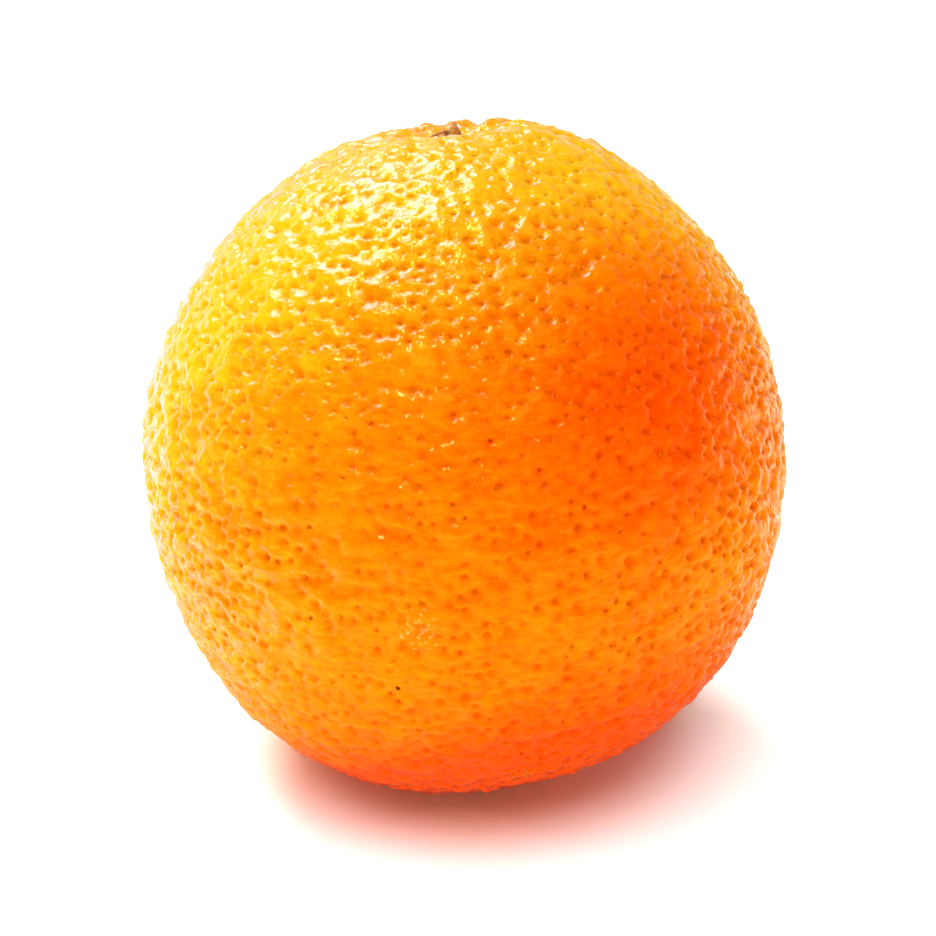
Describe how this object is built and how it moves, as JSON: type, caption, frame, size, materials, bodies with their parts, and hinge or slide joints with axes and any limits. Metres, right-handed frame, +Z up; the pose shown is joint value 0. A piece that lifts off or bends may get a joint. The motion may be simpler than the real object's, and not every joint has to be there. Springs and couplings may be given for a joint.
{
  "type": "orange",
  "caption": "Whole ripe orange with pitted peel and a dried stem button, resting on a small flat spot.",
  "frame": {"origin": "on the small flat spot that the orange rests on, under the middle of the fruit's box", "axes": "+Z up from the rest spot, -Y to the front of the fruit, +X to its right; the stem end leans back towards +Y and a little to -X"},
  "size_m": [0.0796, 0.0804, 0.0832],
  "materials": {
    "peel": "satin",
    "dry_stem": "matte"
  },
  "bodies": {
    "root": {"fruit": "peel", "stem_button": "dry_stem"}
  },
  "joints": []
}
